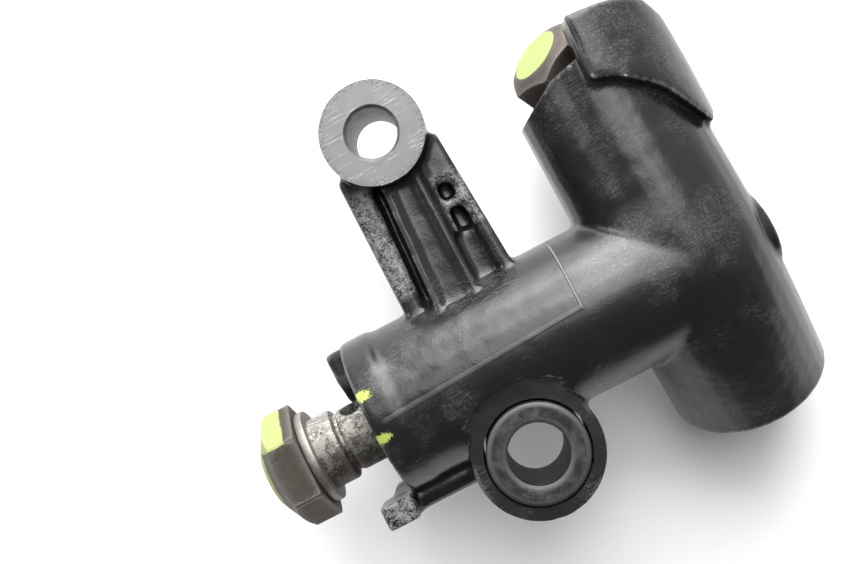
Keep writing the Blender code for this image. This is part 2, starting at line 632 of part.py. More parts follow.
circlip = bored("circlip", [
    (groove - TOUCH, clip_low + CLIP_THICKNESS), (groove - TOUCH, clip_low), (groove - 2.2 * MM, clip_low),
    (groove - 2.2 * MM, clip_low + CLIP_THICKNESS),
], BRIGHT, 36)
gap_from = mouth + (clip_low - 1 * MM) * inward + 0.88 * groove * inward.orthogonal().normalized()
boolean(circlip, rod(1.7 * MM, gap_from, gap_from + 4 * MM * inward, 16))

bored("stop_washer", [
    (CLIP_ZONE_RADIUS - TOUCH, stop_high), (CLIP_ZONE_RADIUS - TOUCH, stop_low), (STOP_WASHER_HOLE, stop_low),
    (STOP_WASHER_HOLE, stop_high),
], PLATED)

# pushrod: a ball end in the piston's socket, and a rod out through the boot
ball_centre = piston_low + BALL_DEPTH
ball = [
    (ball_radius * math.sin(math.pi * i / 12), ball_centre + ball_radius * math.cos(math.pi * i / 12))
    for i in range(9)
]
lip_at = -0.6 * MM
bored("pushrod", ball + [
    (ROD_RADIUS, ball_centre - 3.2 * MM), (ROD_RADIUS, lip_at + 1.0 * MM),
    (ROD_RADIUS - 0.5 * MM, lip_at + 0.7 * MM),
    (ROD_RADIUS - 0.5 * MM, lip_at - 0.7 * MM), (ROD_RADIUS, lip_at - 1.0 * MM),
    (ROD_RADIUS, 0.5 * MM - ROD_PAST_MOUTH), (ROD_RADIUS - 0.5 * MM, -ROD_PAST_MOUTH), (0, -ROD_PAST_MOUTH),
], PLATED)

# boot: a bead in the mouth's recess, one fold, and a lip in the rod's groove
boot_wall = 0.8 * MM
bead = MOUTH_RADIUS - TOUCH
bored("dust_boot", [
    (bead, MOUTH_DEPTH - TOUCH), (bead, 1.6 * MM), (bead - 0.8 * MM, 0.8 * MM), (bead - 1.8 * MM, 1.4 * MM),
    (bead - 3.0 * MM, 0.4 * MM), (bead - 4.2 * MM, -1.1 * MM), (ROD_RADIUS + TOUCH, -1.2 * MM),
    (ROD_RADIUS + TOUCH - 0.5 * MM, lip_at - 0.4 * MM), (ROD_RADIUS + TOUCH - 0.5 * MM, lip_at + 0.4 * MM),
    (ROD_RADIUS + TOUCH, 0), (bead - 4.0 * MM, 0.2 * MM), (bead - 2.9 * MM, 1.6 * MM),
    (bead - 2.2 * MM, 2.4 * MM), (bead - 1.6 * MM, MOUTH_DEPTH - TOUCH),
], RUBBER, 32)


# ---------------------------------------------------------------- valve in the side tube

wall = VALVE_BORE_RADIUS - TOUCH
bore_x = valve_start_x
turned("valve_retainer", [
    (wall, RETAINER_THICKNESS), (wall, 0), (GALLERY_RADIUS, 0), (GALLERY_RADIUS, RETAINER_THICKNESS),
], PLATED, 32, (bore_x + TOUCH, 0, 0), X)

valve_low = bore_x + 2 * TOUCH + RETAINER_THICKNESS
ring_at = VALVE_LENGTH * 0.5
ring_half = 0.9 * MM      # half the ring groove's width
turned("valve_piston", [
    (0, VALVE_LENGTH + 1.2 * MM), (1.3 * MM, VALVE_LENGTH + 1.2 * MM), (1.5 * MM, VALVE_LENGTH),
    (wall, VALVE_LENGTH), (wall, ring_at + ring_half), (VALVE_GROOVE_RADIUS, ring_at + ring_half),
    (VALVE_GROOVE_RADIUS, ring_at - ring_half), (wall, ring_at - ring_half), (wall, 0.4 * MM),
    (wall - 0.4 * MM, 0), (0, 0),
], ANODISED, 32, (valve_low, 0, 0), X)

ring_outer, ring_inner = VALVE_BORE_RADIUS - SEAL_GAP, VALVE_GROOVE_RADIUS + SEAL_GAP
ring_middle, ring_thick = (ring_outer + ring_inner) / 2, (ring_outer - ring_inner) / 2
turned("valve_o_ring", [
    (ring_middle + ring_thick * math.sin(math.pi * i / 6), ring_thick * math.cos(math.pi * i / 6))
    for i in range(12)
], RUBBER, 28, (valve_low + ring_at, 0, 0), X)

seat_x = valve_end_x - TOUCH - SEAT_THICKNESS
turned("valve_seat", [
    (wall, SEAT_THICKNESS), (wall, 0), (GALLERY_RADIUS, 0), (GALLERY_RADIUS, SEAT_THICKNESS),
], BRIGHT, 32, (seat_x, 0, 0), X)

valve_spring_start = valve_low + VALVE_LENGTH + TOUCH
coil("valve_spring", BRIGHT, (valve_spring_start, 0, 0), X, seat_x - TOUCH - valve_spring_start, 2.5 * MM,
     0.3 * MM, 4)


# ---------------------------------------------------------------- stand it on z = 0, box centred

def box_of(objects):
    bpy.context.view_layer.update()
    graph = bpy.context.evaluated_depsgraph_get()
    corners = []
    for obj in objects:
        made = obj.evaluated_get(graph)
        mesh = made.to_mesh()
        corners += [made.matrix_world @ vertex.co for vertex in mesh.vertices]
        made.to_mesh_clear()
    low = Vector([min(c[i] for c in corners) for i in range(3)])
    high = Vector([max(c[i] for c in corners) for i in range(3)])
    return low, high


for cutter in cutters.objects:
    cutter.parent = base
smooth(casting.data)
low, high = box_of([obj for obj in parts.objects if obj.type != "EMPTY"])
base.location = (-(low.x + high.x) / 2, -(low.y + high.y) / 2, -low.z)
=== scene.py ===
"""Brake master cylinder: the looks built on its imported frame.

Sizes are written in millimetres, in the maker's frame of the casting: the side tube's gallery along X
at the origin, both mounting eyes along Z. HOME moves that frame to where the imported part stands.
"""
import json
import math

import bmesh
import bpy
import numpy as np
from mathutils import Matrix, Vector


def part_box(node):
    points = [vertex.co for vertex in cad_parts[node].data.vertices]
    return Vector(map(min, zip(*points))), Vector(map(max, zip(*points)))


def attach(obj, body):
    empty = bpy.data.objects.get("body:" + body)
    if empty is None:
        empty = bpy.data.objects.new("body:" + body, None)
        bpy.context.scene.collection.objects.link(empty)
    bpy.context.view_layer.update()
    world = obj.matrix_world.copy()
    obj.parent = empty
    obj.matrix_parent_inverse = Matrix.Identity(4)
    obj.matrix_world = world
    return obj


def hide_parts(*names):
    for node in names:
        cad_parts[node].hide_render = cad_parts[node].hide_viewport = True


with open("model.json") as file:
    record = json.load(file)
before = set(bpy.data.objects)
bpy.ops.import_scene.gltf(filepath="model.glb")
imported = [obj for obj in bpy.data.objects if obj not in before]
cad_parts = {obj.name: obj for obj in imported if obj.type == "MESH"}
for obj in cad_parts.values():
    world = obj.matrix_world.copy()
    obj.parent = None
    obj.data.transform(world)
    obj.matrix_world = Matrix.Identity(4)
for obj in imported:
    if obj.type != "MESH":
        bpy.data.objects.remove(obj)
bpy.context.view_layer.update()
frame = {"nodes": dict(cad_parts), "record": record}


# ---------------------------------------------------------------- stand, camera and light
# The part lies on a plain pale table, seen from nearly straight above, under soft studio light
# that comes mostly from beyond its upper end.

MM = 0.001
LOWER_EYE_Y = -11.7
LOWER_EYE = Vector((0, LOWER_EYE_Y, 0))
SLEEVE_LOW = -5.5
sleeve_low, sleeve_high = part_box("lower_mount_sleeve")
HOME = Vector((
    (sleeve_low.x + sleeve_high.x) / 2 - LOWER_EYE.x * MM,
    (sleeve_low.y + sleeve_high.y) / 2 - LOWER_EYE.y * MM,
    sleeve_low.z - SLEEVE_LOW * MM,
))

SENSOR_WIDTH, LENS = 36, 51.12426
CAMERA_DISTANCE = 158 * MM
ORIGIN_SEEN = (0.0601667, -0.0695)           # right and up of the view's middle, per unit of distance
# the part's own axes as the camera sees them, each as right, up and toward it
z_seen = Vector((-0.052, 0, 0.9986)).normalized()
x_seen = Vector((0.882, 0.462, 0.0927))
x_seen = (x_seen - x_seen.dot(z_seen) * z_seen).normalized()
y_seen = z_seen.cross(x_seen)
# and so the camera's axes in the part's frame
right, up, back = (row.normalized() for row in Matrix((x_seen, y_seen, z_seen)).transposed())
facing = Matrix((right, up, back)).transposed()

camera = bpy.data.objects.new("camera", bpy.data.cameras.new("camera"))
bpy.context.scene.collection.objects.link(camera)
camera.data.sensor_width = SENSOR_WIDTH
camera.data.lens = LENS
camera.data.clip_start = 5 * MM
origin_place = Vector((*ORIGIN_SEEN, -1)) * CAMERA_DISTANCE
camera.matrix_world = Matrix.Translation(HOME - facing @ origin_place) @ facing.to_4x4()
bpy.context.scene.camera = camera
bpy.context.scene.view_settings.view_transform = "Standard"


class Value:
    """A shader socket that can be used in sums."""

    def __init__(self, tree, socket):
        self.tree = tree
        self.socket = socket

    def node(self, kind, inputs, output=0, **settings):
        """The output of a new node. Its settings are set before its inputs."""
        made = self.tree.nodes.new("ShaderNode" + kind)
        for key, value in settings.items():
            setattr(made, key, value)
        for key, value in inputs.items():
            if isinstance(value, Value):
                self.tree.links.new(value.socket, made.inputs[key])
            else:
                made.inputs[key].default_value = value
        return Value(self.tree, made.outputs[output])

    def sum_of(self, operation, first, second):
        return self.node("Math", {0: first, 1: second}, operation=operation)

    def __add__(self, other):
        return self.sum_of("ADD", self, other)

    def __radd__(self, other):
        return self.sum_of("ADD", other, self)

    def __sub__(self, other):
        return self.sum_of("SUBTRACT", self, other)

    def __rsub__(self, other):
        return self.sum_of("SUBTRACT", other, self)

    def __mul__(self, other):
        return self.sum_of("MULTIPLY", self, other)

    def __rmul__(self, other):
        return self.sum_of("MULTIPLY", other, self)

    def __truediv__(self, other):
        return self.sum_of("DIVIDE", self, other)

    def __pow__(self, other):
        return self.sum_of("POWER", self, other)

    def __abs__(self):
        return self.sum_of("ABSOLUTE", self, 0)

    def lesser(self, other):
        return self.sum_of("MINIMUM", self, other)

    def greater(self, other):
        return self.sum_of("MAXIMUM", self, other)

    def rise(self, low, high):
        """0 below low and 1 above high, smoothly; falls instead when low is over high."""
        flip = low > high
        low, high = min(low, high), max(low, high)
        ends = {"To Min": 1.0, "To Max": 0.0} if flip else {}
        return self.node("MapRange", {"Value": self, "From Min": low, "From Max": high, **ends},
                         interpolation_type="SMOOTHSTEP")

    def mix(self, under, over):
        """The colour over where this mask is 1, and under where it is 0."""
        under, over = ((*c, 1) if isinstance(c, tuple) else c for c in (under, over))
        return self.node("Mix", {0: self, 6: under, 7: over}, 2, data_type="RGBA")

    def stretched(self, scale, lean):
        """This position, scaled and turned about Z."""
        return self.node("Mapping", {"Vector": self, "Scale": scale, "Rotation": (0, 0, lean)})

    def grain(self, size, detail=3, rough=0.55):
        """Soft noise about 0.5 whose blotches are about size across, in the position's units."""
        return self.node("TexNoise", {"Vector": self, "Scale": 1 / size, "Detail": detail,
                                      "Roughness": rough})

    def axis(self, index):
        return self.node("SeparateXYZ", {"Vector": self}, index)

    def off_line(self, y):
        """Distance of this position from the line along Z through (0, y)."""
        return (self.axis(0) ** 2 + (self.axis(1) - y) ** 2) ** 0.5

    def wear(self):
        """The value that edge_wear stored at the points."""
        return self.node("Attribute", {}, 2, attribute_name="edge")


def finish_of(name, **constants):
    """A new material with those constants on its shader; gives it, its shader and a position in mm."""
    made = bpy.data.materials.new(name)
    made.use_nodes = True
    shader = made.node_tree.nodes["Principled BSDF"]
    for key, value in constants.items():
        value = (*value, 1) if isinstance(value, tuple) else value
        shader.inputs[key.replace("_", " ")].default_value = value
    coordinates = made.node_tree.nodes.new("ShaderNodeTexCoord")
    position = Value(made.node_tree, coordinates.outputs["Object"])
    position = position.node("Mapping", {"Vector": position, "Scale": (1 / MM, 1 / MM, 1 / MM),
                                         "Location": tuple(-HOME / MM)})
    return made, shader, position


def wire(shader, name, value):
    value.tree.links.new(value.socket, shader.inputs[name])


def relief(shader, height, depth):
    """Bumps of height 0 to 1, depth in millimetres."""
    bump = height.node("Bump", {"Height": height, "Distance": depth * MM, "Strength": 1.0})
    wire(shader, "Normal", bump)


table, table_shader, spot = finish_of("table", Base_Color=(0.86, 0.85, 0.86), Roughness=0.75)
wire(table_shader, "Base Color", spot.grain(40).mix((0.84, 0.83, 0.84), (0.88, 0.87, 0.88)))
plane = bpy.data.meshes.new("table")
TABLE_HALF = 3.0                             # metres
plane.from_pydata([(x * TABLE_HALF, y * TABLE_HALF, 0) for x, y in ((-1, -1), (1, -1), (1, 1), (-1, 1))],
                  [], [(0, 1, 2, 3)])
plane.materials.append(table)
floor = bpy.data.objects.new("table", plane)
bpy.context.scene.collection.objects.link(floor)


LIT_POINT = HOME + Vector((12, 8, 0)) * MM


def softbox(name, place, size, power):
    """A square soft light that faces the part, placed in millimetres seen as right, up and toward."""
    data = bpy.data.lights.new(name, "AREA")
    data.size = size * MM
    data.energy = power
    lamp = bpy.data.objects.new(name, data)
    stand = HOME + facing @ (Vector(place) * MM)
    turned = (stand - LIT_POINT).to_track_quat("Z", "Y").to_matrix().to_4x4()
    lamp.matrix_world = Matrix.Translation(stand) @ turned
    bpy.context.scene.collection.objects.link(lamp)


softbox("upper_softbox", (-60, 420, 330), 420, 3.6)
softbox("low_softbox", (-80, 520, 90), 460, 3.4)
softbox("overhead_softbox", (-20, 240, 600), 380, 2.0)
softbox("left_fill", (-480, 60, 260), 300, 1.2)
# the room is bright beyond the part's upper end and dark at its lower end
ROOM_DARK, ROOM_RISE = 0.16, 0.75
world = bpy.data.worlds.new("studio")
world.use_nodes = True
background = world.node_tree.nodes["Background"]
way = world.node_tree.nodes.new("ShaderNodeTexCoord")
way = Value(world.node_tree, way.outputs["Generated"])
upward = way.node("VectorMath", {0: way, 1: tuple(up)}, 1, operation="DOT_PRODUCT")
background.inputs["Color"].default_value = (0.93, 0.94, 1.0, 1)
wire(background, "Strength", ROOM_DARK + ROOM_RISE * upward.rise(-0.35, 0.75))
bpy.context.scene.world = world


# ---------------------------------------------------------------- cast body
# Sand-soft aluminium casting, painted gloss black after both eye faces, the tube's end and the ports
# were machined. Its lumps are fused into one rounded skin, then the machined cuts are made crisp.

TUBE_RADIUS, TUBE_FACE, TUBE_RISE = 10.5, -16.2, 0.9
BODY_X, BODY_RADIUS, BODY_TOP = 28.3, 11.0, 33.0
BODY_Z = -0.4
BORE_START, BORE_DEPTH = Vector((28.8, 5.0, 2.2)), 28.0
MOUTH_TRIM = 0.9
COLLAR_STEP, COLLAR_TOP, COLLAR_LEFT = 1.6, 34.1, 26.7
EYE_TOP, EYE_THICKNESS = 8.4, 13.4
UPPER_EYE_Y = 33.5
REAR_SEAT = Vector((26.3, 28.4, -1.1))
PORT_LENGTH = 9.5
VALVE_START = 2.8
SWEEP_HANDLE = 7.0
VOXEL = 0.36
SMOOTH_PASSES = 13
FACES_KEPT = 0.6
LONGEST_EDGE = 0.55


def direction(azimuth, rise):
    """A unit vector from its angles in degrees."""
    azimuth, rise = math.radians(azimuth), math.radians(rise)
    level = math.cos(rise)
    return Vector((level * math.cos(azimuth), level * math.sin(azimuth), math.sin(rise)))


OUTWARD = direction(-86, -32)                # out of the pressure cylinder's mouth
REAR = direction(121, 26)                    # out of the rear port
RIM = BORE_START + BORE_DEPTH * OUTWARD
MOUTH = RIM - MOUTH_TRIM * OUTWARD
SHARP_ANGLE = math.radians(32)
workshop = bpy.data.collections.new("workshop")
bpy.context.scene.collection.children.link(workshop)


def bench_object(name, mesh):
    """An object for work in progress, cleared away before the scene is finished."""
    made = bpy.data.objects.new(name, mesh)
    workshop.objects.link(made)
    return made


def mesh_of(shape, name):
    """A new mesh from a bmesh, which is freed."""
    mesh = bpy.data.meshes.new(name)
    shape.to_mesh(mesh)
    shape.free()
    return mesh


def along(origin, axis):
    """The place of something made along Z, put at origin along axis."""
    return Matrix.Translation(origin) @ Vector(axis).to_track_quat("Z", "Y").to_matrix().to_4x4()


def lathed(profile, origin=(0, 0, 0), axis=(0, 0, 1), steps=96):
    """A turned mesh from (radius, height) points down its outer side; it closes on itself unless
    both ends are on the axis."""
    solid = profile[0][0] == 0 and profile[-1][0] == 0
    shape = bmesh.new()
    angles = [2 * math.pi * k / steps for k in range(steps)]
    rings = []
    for radius, height in profile:
        points = [(radius * math.cos(a), radius * math.sin(a), height) for a in angles]
        rings.append([shape.verts.new(point) for point in (points if radius else [(0, 0, height)])])
    for upper, lower in zip(rings, rings[1:] + ([] if solid else rings[:1])):
        for k in range(steps):
            n = (k + 1) % steps
            corners = [upper[k % len(upper)], lower[k % len(lower)],
                       lower[n % len(lower)], upper[n % len(upper)]]
            corners = list(dict.fromkeys(corners))
            if len(corners) > 2:
                shape.faces.new(corners)
    bmesh.ops.recalc_face_normals(shape, faces=shape.faces)
    shape.transform(along(origin, axis))
    return mesh_of(shape, "lathed")


def drum(radius, start, end, steps=96):
    """A plain turned cutter between two points."""
    start, end = Vector(start), Vector(end)
    length = (end - start).length
    return lathed([(0, length), (radius, length), (radius, 0), (0, 0)], start, end - start, steps)


def slab(points, low, high):
    """A plan outline, extruded from low to high."""
    shape = bmesh.new()
    face = shape.faces.new([shape.verts.new((x, y, low)) for x, y in points])
    raised = bmesh.ops.extrude_face_region(shape, geom=[face])["geom"]
    corners = [item for item in raised if isinstance(item, bmesh.types.BMVert)]
    bmesh.ops.translate(shape, vec=(0, 0, high - low), verts=corners)
    bmesh.ops.recalc_face_normals(shape, faces=shape.faces)
    return mesh_of(shape, "slab")


def block(low, high):
    """A box between two opposite corners."""
    (x0, y0, z0), (x1, y1, z1) = low, high
    return slab([(x0, y0), (x1, y0), (x1, y1), (x0, y1)], z0, z1)


def joined(meshes):
    """Several meshes as one, each keeping its own faces."""
    shape = bmesh.new()
    for mesh in meshes:
        shape.from_mesh(mesh)
    return mesh_of(shape, "joined")


def in_order(mesh):
    """The same mesh with its points and faces sorted. A Boolean lists them in another order each run,
    and the voxel skin and Decimate would carry that into their shapes."""
    places = sorted(range(len(mesh.vertices)), key=lambda i: tuple(mesh.vertices[i].co))
    rank = {old: new for new, old in enumerate(places)}
    faces = []
    for face in mesh.polygons:
        corners = [rank[i] for i in face.vertices]
        first = corners.index(min(corners))
        faces.append(corners[first:] + corners[:first])
    ordered = bpy.data.meshes.new(mesh.name)
    ordered.from_pydata([mesh.vertices[i].co for i in places], [], sorted(faces))
    return ordered


def settled(made):
    """The object's mesh with its modifiers applied. The object itself is removed."""
    bpy.context.view_layer.update()
    graph = bpy.context.evaluated_depsgraph_get()
    mesh = bpy.data.meshes.new_from_object(made.evaluated_get(graph))
    bpy.data.objects.remove(made)
    return mesh


def carved(mesh, cutter, finish=None, operation="DIFFERENCE"):
    """The mesh after one Boolean; a finish given goes onto the faces that the cutter leaves."""
    worked = bench_object("worked", mesh)
    tool = bench_object("tool", cutter)
    cut = worked.modifiers.new("cut", "BOOLEAN")
    cut.object = tool
    cut.operation = operation
    cut.solver = "EXACT"
    if finish is not None:
        cutter.materials.clear()
        cutter.materials.append(finish)
        cut.material_mode = "TRANSFER"
    result = settled(worked)
    bpy.data.objects.remove(tool)
    return result


def shown(name, mesh, body, slot, *replaced):
    """A finished piece: moved from the maker's frame to its home and tied to its CAD body."""
    mesh.transform(Matrix.Translation(HOME) @ Matrix.Scale(MM, 4))
    mesh.shade_smooth()
    mesh.set_sharp_from_angle(angle=SHARP_ANGLE)
    mesh.name = name
    piece = bpy.data.objects.new(name, mesh)
    bpy.context.scene.collection.objects.link(piece)
    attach(piece, body)
    if replaced:
        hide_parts(*replaced)


def body_sweep():
    """The right-hand body's skin along its bent centre line."""
    curve = bpy.data.curves.new("sweep", "CURVE")
    curve.dimensions = "3D"
    curve.bevel_depth = BODY_RADIUS
    curve.bevel_resolution = 14
    curve.use_fill_caps = True
    curve.resolution_u = 20
    line = curve.splines.new("BEZIER")
    line.bezier_points.add(2)
    top = Vector((BODY_X - 0.4, BODY_TOP, BODY_Z - 1.0))
    bend = Vector((BODY_X + 0.3, 3.0, BODY_Z))
    stations = [(top, bend - top, 0.96), (bend, Vector((0, -1, 0)), 1.0), (RIM, OUTWARD, 1.0)]
    for point, (centre, heading, size) in zip(line.bezier_points, stations):
        point.co = centre
        point.handle_left = centre - heading.normalized() * SWEEP_HANDLE
        point.handle_right = centre + heading.normalized() * SWEEP_HANDLE
        point.radius = size
    mesh = settled(bench_object("sweep", curve))
    shape = bmesh.new()
    shape.from_mesh(mesh)
    bmesh.ops.remove_doubles(shape, verts=shape.verts, dist=0.001)
    shape.to_mesh(mesh)
    shape.free()
    return mesh


def guard_collar():
    """The proud collar round the body's upper end."""
    left, top, right_side = COLLAR_LEFT, COLLAR_TOP, BODY_X + BODY_RADIUS + COLLAR_STEP
    points = [
        (left, top - 7.9), (left + 3, top - 9.0), (BODY_X + 6, top - 12.6),
        (right_side - 2.2, top - 19.2), (right_side, top - 17.4), (right_side - 1.5, top - 4),
        (right_side - 3.4, top - 1.2), (right_side - 7.4, top), (left + 0.6, top + 0.5),
    ]
    barrel = drum(BODY_RADIUS + COLLAR_STEP, (BODY_X - 0.4, 0, BODY_Z), (BODY_X - 0.4, top + 5, BODY_Z))
    return carved(slab(points, -13, 13), barrel, operation="INTERSECT")


paint, paint_shader, spot = finish_of("gloss_black_paint", IOR=1.5)
bare, bare_shader, bare_spot = finish_of("machined_aluminium", Metallic=1.0)

RAW_FACE = TUBE_FACE - 0.8                   # the tube's end before it is faced
PLUG_FACE = BODY_X + BODY_RADIUS + 0.4
eye_low = EYE_TOP - EYE_THICKNESS
arm_low, web, arm_top = eye_low + 0.8, 1.4, 4.6
rib_low, rib_end = web - 1, UPPER_EYE_Y - 6
foot, eye_side = TUBE_RADIUS - 4, UPPER_EYE_Y - 3
ball = bmesh.new()
bmesh.ops.create_uvsphere(ball, u_segments=64, v_segments=40, radius=TUBE_RADIUS,
                          matrix=Matrix.Translation((BODY_X, TUBE_RISE, 0)))
lumps = [
    body_sweep(), guard_collar(), mesh_of(ball, "tube_end"),
    drum(TUBE_RADIUS, (RAW_FACE, TUBE_RISE, 0), (BODY_X, TUBE_RISE, 0)),
    drum(TUBE_RADIUS + 0.3, (RAW_FACE, TUBE_RISE + 0.1, 0), (TUBE_FACE + 3.2, TUBE_RISE + 0.1, 0)),
    drum(4.6, (BODY_X, 0, 0), (PLUG_FACE, 0, 0)),
    lathed([(0, PORT_LENGTH + 5), (8.1, PORT_LENGTH + 5), (6.2, 0), (0, 0)],
           REAR_SEAT - (PORT_LENGTH + 2) * REAR, REAR),
    # upper eye, its web, two flanges and the tapering middle rib
    drum(6.8, (0, UPPER_EYE_Y, eye_low), (0, UPPER_EYE_Y, EYE_TOP + 0.6)),
    slab([(-7.2, foot), (8.6, foot), (7.2, eye_side), (-7.2, eye_side)], arm_low, web),
    slab([(-7.2, foot), (-4.7, foot), (-3.5, eye_side), (-7.2, eye_side)], arm_low, arm_top - 0.3),
    slab([(6.7, foot), (8.6, foot), (7.2, eye_side), (5.6, eye_side)], arm_low, arm_top - 0.4),
    slab([(-3.4, foot), (2.9, foot), (2.6, rib_end), (-1.9, rib_end)], rib_low, arm_top + 0.6),
    slab([(-3.5, foot), (-2.4, foot), (-1.2, rib_end), (-2.3, rib_end)], rib_low, arm_top + 1.3),
    slab([(1.9, foot), (3.0, foot), (3.0, rib_end), (2.0, rib_end)], rib_low, arm_top + 1.1),
    # the slope right of the ridge is filled, but for two small pockets against the right flange
    slab([(2, foot), (7.4, foot), (7.2, 17.6), (2, 17.6)], rib_low, arm_top - 1.6),
    slab([(2, 17.6), (4.0, 17.6), (3.8, eye_side), (2, eye_side)], rib_low, arm_top - 0.1),
    slab([(2, 21.0), (6.9, 20.6), (6.9, 21.7), (2, 22.1)], rib_low, arm_top - 0.2),
    slab([(2, 24.4), (6.7, 24.0), (6.4, eye_side), (2, eye_side)], rib_low, arm_top - 0.4),
    # lower eye and the block that ties it to the tube
    drum(8.5, (0, LOWER_EYE_Y, eye_low + 0.3), (0, LOWER_EYE_Y, EYE_TOP + 0.4)),
    block((-7.5, LOWER_EYE_Y + 1, eye_low + 1), (7.5, -2, EYE_TOP - 4.5)),
    # stop prongs past the tube's face, and the rib from the lower one to the eye
    block((TUBE_FACE - 4.2, 3.8, -10.6), (TUBE_FACE + 3, 11.4, -5.0)),
    block((TUBE_FACE - 5.8, -13.0, -3.5), (TUBE_FACE - 1.2, -9.6, 2.6)),
    block((TUBE_FACE - 3.5, -11.6, -6.5), (TUBE_FACE + 9.5, -8.6, -0.5)),
    drum(1.7, (TUBE_FACE - 1.5, -11.1, -1.2), (TUBE_FACE + 10, -11.1, -1.2)),
]
skin = bench_object("skin", in_order(joined(lumps)))
fused = skin.modifiers.new("fuse", "REMESH")
fused.mode = "VOXEL"
fused.voxel_size = VOXEL
rounded = skin.modifiers.new("round", "SMOOTH")
rounded.factor = 0.5
rounded.iterations = SMOOTH_PASSES
thinned = skin.modifiers.new("thin", "DECIMATE")
thinned.ratio = FACES_KEPT
body = settled(skin)
body.materials.append(paint)

BORE_RADIUS, CLIP_ZONE, CLIP_GROOVE, MOUTH_RADIUS = 6.35, 7.2, 8.1, 8.5
bore = [
    (0, 3), (MOUTH_RADIUS, 3), (MOUTH_RADIUS, -4.6), (CLIP_ZONE, -4.6), (CLIP_ZONE, -5.1),
    (CLIP_GROOVE, -5.1), (CLIP_GROOVE, -6.3), (CLIP_ZONE, -6.3), (CLIP_ZONE, -7.4),
    (BORE_RADIUS, -7.4), (BORE_RADIUS, -27.1), (0, -28.3),
]
UPPER_HOLE, SLEEVE_SEAT = 3.2, 6.9
upper_hole = [(0, 20), (UPPER_HOLE + 0.4, 20), (UPPER_HOLE + 0.4, EYE_TOP + 0.01),
              (UPPER_HOLE, EYE_TOP - 0.4), (UPPER_HOLE, -20), (0, -20)]
rear_end = REAR_SEAT - PORT_LENGTH * REAR
CORNER_REACH, CORNER_LEAN = 12, math.radians(30)
bend_x, bend_y = COLLAR_LEFT - 3.9, 28.8
corner_x, corner_top = bend_x - CORNER_REACH, COLLAR_TOP + 4
corner = [
    (corner_x, bend_y - CORNER_REACH * math.tan(CORNER_LEAN)), (bend_x, bend_y), (COLLAR_LEFT, 29.6),
    (COLLAR_LEFT + 0.8, corner_top), (corner_x, corner_top),
]
cuts = [
    # faces of the two eyes, the tube's end and the mouth
    (drum(8.0, (0, UPPER_EYE_Y, EYE_TOP), (0, UPPER_EYE_Y, EYE_TOP + 4)), bare),
    (drum(9.7, (0, LOWER_EYE_Y, EYE_TOP), (0, LOWER_EYE_Y, EYE_TOP + 4)), paint),
    (drum(9.4, (TUBE_FACE, 0, 0), (TUBE_FACE - 9, 0, 0)), paint),
    (drum(14, MOUTH, RIM + 6 * OUTWARD), bare),
    # holes of the two eyes
    (lathed(upper_hole, (0, UPPER_EYE_Y, 0)), bare),
    (drum(SLEEVE_SEAT, (0, LOWER_EYE_Y, -20), (0, LOWER_EYE_Y, 20)), bare),
    # corner beside the collar, and the rear port's face
    (slab(corner, -20, 20), paint),
    (drum(6.7, REAR_SEAT, REAR_SEAT + 22 * REAR), paint),
    # front port, rear port, valve chamber, gallery and the plug's seat
    (drum(5.3, (TUBE_FACE - 2, 0, 0), (VALVE_START, 0, 0)), bare),
    (drum(4.3, rear_end, REAR_SEAT + REAR, 64), bare),
    (drum(4.1, (VALVE_START - 1, 0, 0), (VALVE_START + 15, 0, 0), 64), bare),
    (drum(1.6, (VALVE_START + 14, 0, 0), (PLUG_FACE - 2.2, 0, 0), 32), bare),
    (drum(2.9, (PLUG_FACE - 3.2, 0, 0), (PLUG_FACE + 5.8, 0, 0), 48), bare),
    (lathed(bore, MOUTH, OUTWARD), bare),
]
for cutter, finish in cuts:
    body = carved(body, cutter, finish)


MOST_SPLITS = 7


def split_long_edges(mesh, longest):
    """Cuts edges over the given length in half, MOST_SPLITS times at most, so that values at points
    stay local."""
    shape = bmesh.new()
    shape.from_mesh(mesh)
    for _ in range(MOST_SPLITS):
        long_edges = [edge for edge in shape.edges if edge.calc_length() > longest]
        if not long_edges:
            break
        bmesh.ops.subdivide_edges(shape, edges=long_edges, cuts=1)
        bmesh.ops.triangulate(shape, faces=[face for face in shape.faces if len(face.verts) > 3])
    shape.to_mesh(mesh)
    shape.free()


def edge_wear(mesh):
    """Stores how strongly each point stands out of its surroundings, as worn edges do."""
    split_long_edges(mesh, LONGEST_EDGE)
    count = len(mesh.vertices)
    places = np.empty(count * 3)
    normals = np.empty(count * 3)
    mesh.vertices.foreach_get("co", places)
    mesh.vertices.foreach_get("normal", normals)
    places, normals = places.reshape(-1, 3), normals.reshape(-1, 3)
    ends = np.empty(len(mesh.edges) * 2, np.int64)
    mesh.edges.foreach_get("vertices", ends)
    first, second = ends.reshape(-1, 2).T
    step = places[second] - places[first]
    length = np.maximum(np.linalg.norm(step, axis=1), 1e-6)
    leaning = ((normals[second] - normals[first]) * step).sum(1) / length ** 2
    total, share = np.zeros(count), np.zeros(count)
    for end in (first, second):
        np.add.at(total, end, leaning)
        np.add.at(share, end, 1)
    bend = total / np.maximum(share, 1)
    # each point then takes the mean of itself and its neighbours
    spread, share = bend.copy(), np.ones(count)
    for here, there in ((first, second), (second, first)):
        np.add.at(spread, here, bend[there])
        np.add.at(share, here, 1)
    layer = mesh.attributes.new("edge", "FLOAT", "POINT")
    layer.data.foreach_set("value", np.clip(spread / share, 0, 1).astype(np.float32))


edge_wear(body)
shown("painted_body", body, "base", "black_paint", "body_casting")

